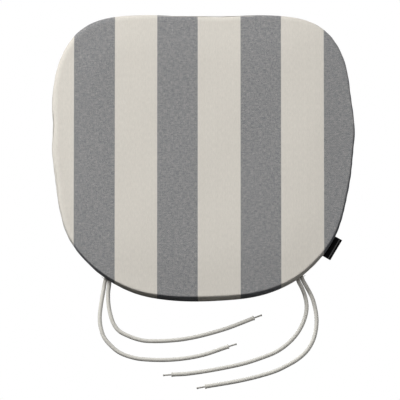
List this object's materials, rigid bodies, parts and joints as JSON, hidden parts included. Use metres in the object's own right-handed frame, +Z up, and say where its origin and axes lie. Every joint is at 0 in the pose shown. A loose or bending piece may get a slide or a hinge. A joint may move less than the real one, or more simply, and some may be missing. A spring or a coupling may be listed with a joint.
{
  "type": "chair seat pad",
  "caption": "Rounded trapezoid chair seat pad: striped boxed cover with zip underneath, foam core, folded side label and paired tie cords at the rear corners.",
  "frame": {"origin": "centre of the pad's underside, on the surface it rests on, without the tie cords", "axes": "+X across the pad, +Y towards the wide front edge, +Z up out of the sitting face; the ties are on the -Y side"},
  "size_m": [0.4002, 0.5005, 0.0305],
  "materials": {
    "foam": "matte",
    "liner": "matte",
    "cover_fabric": "matte",
    "thread": "matte",
    "zip_tape": "matte",
    "zip_coil": "satin",
    "zip_metal": "satin",
    "label": "satin",
    "tie_cord": "matte",
    "cord_cuff": "matte",
    "cord_core": "satin"
  },
  "bodies": {
    "pad": {"foam_core": "foam", "foam_liner_top": "liner", "foam_liner_bottom": "liner", "top_panel": "cover_fabric", "side_band_front": "cover_fabric", "side_band_rear": "cover_fabric", "bottom_panel_front": "cover_fabric", "bottom_panel_rear": "cover_fabric", "seam_thread_top": "thread", "seam_thread_bottom": "thread", "zip_tape_front": "zip_tape", "zip_tape_rear": "zip_tape", "zip_coil_front": "zip_coil", "zip_coil_rear": "zip_coil", "zip_end_stop": "zip_metal", "zip_top_stops": "zip_metal", "zip_stitching_front": "thread", "zip_stitching_rear": "thread", "side_label": "label", "tie_bartack_left": "thread", "tie_bartack_right": "thread", "tie_left_outer": "tie_cord", "tie_left_inner": "tie_cord", "tie_right_inner": "tie_cord", "tie_right_outer": "tie_cord", "tie_cuff_left_outer": "cord_cuff", "tie_cuff_left_inner": "cord_cuff", "tie_cuff_right_inner": "cord_cuff", "tie_cuff_right_outer": "cord_cuff", "tie_core_left_outer": "cord_core", "tie_core_left_inner": "cord_core", "tie_core_right_inner": "cord_core", "tie_core_right_outer": "cord_core"},
    "slider": {"zip_slider": "zip_metal"},
    "pull": {"zip_pull": "zip_metal"}
  },
  "joints": [
    {"name": "zip_slide", "type": "slide", "parent": "pad", "child": "slider", "axis": [-1, 0, 0], "range_m": [0, 0.275]},
    {"name": "pull_flip", "type": "hinge", "parent": "slider", "child": "pull", "pos_m": [0.14, -0.07, 0.00258], "axis": [0, -1, 0], "range_deg": [0, 178]}
  ]
}
